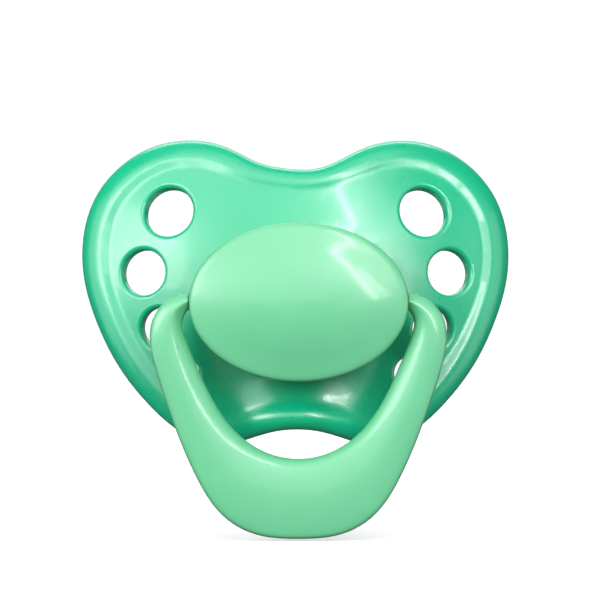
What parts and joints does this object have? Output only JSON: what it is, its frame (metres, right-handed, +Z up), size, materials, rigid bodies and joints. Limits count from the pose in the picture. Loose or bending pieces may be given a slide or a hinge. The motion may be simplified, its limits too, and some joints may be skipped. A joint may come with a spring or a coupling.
{
  "type": "pacifier",
  "caption": "Baby pacifier: a curved shield with vent holes, a hollow teat behind it, and an oval knob in front with a swinging ring handle.",
  "frame": {"origin": "on the teat's axis, in the plane of the shield's flat mouth-side seat", "axes": "+Y along the teat into the mouth, +Z up towards the nose notch, +X across the shield, to the right of someone facing the wearer"},
  "size_m": [0.0476, 0.0382, 0.0436],
  "materials": {
    "shield_plastic": "glossy aqua-green moulded polypropylene",
    "knob_plastic": "glossy pale mint moulded polypropylene",
    "silicone": "clear silicone rubber"
  },
  "bodies": {
    "soother": {"shield": "shield_plastic", "teat": "silicone", "teat_plug": "knob_plastic", "knob_base": "knob_plastic", "knob_cap": "knob_plastic"},
    "ring": {"ring_handle": "knob_plastic"}
  },
  "joints": [
    {"name": "ring_hinge", "type": "hinge", "parent": "soother", "child": "ring", "pos_m": [0, -0.0064, 0], "axis": [-1, 0, 0], "range_deg": [-12, 198]}
  ]
}
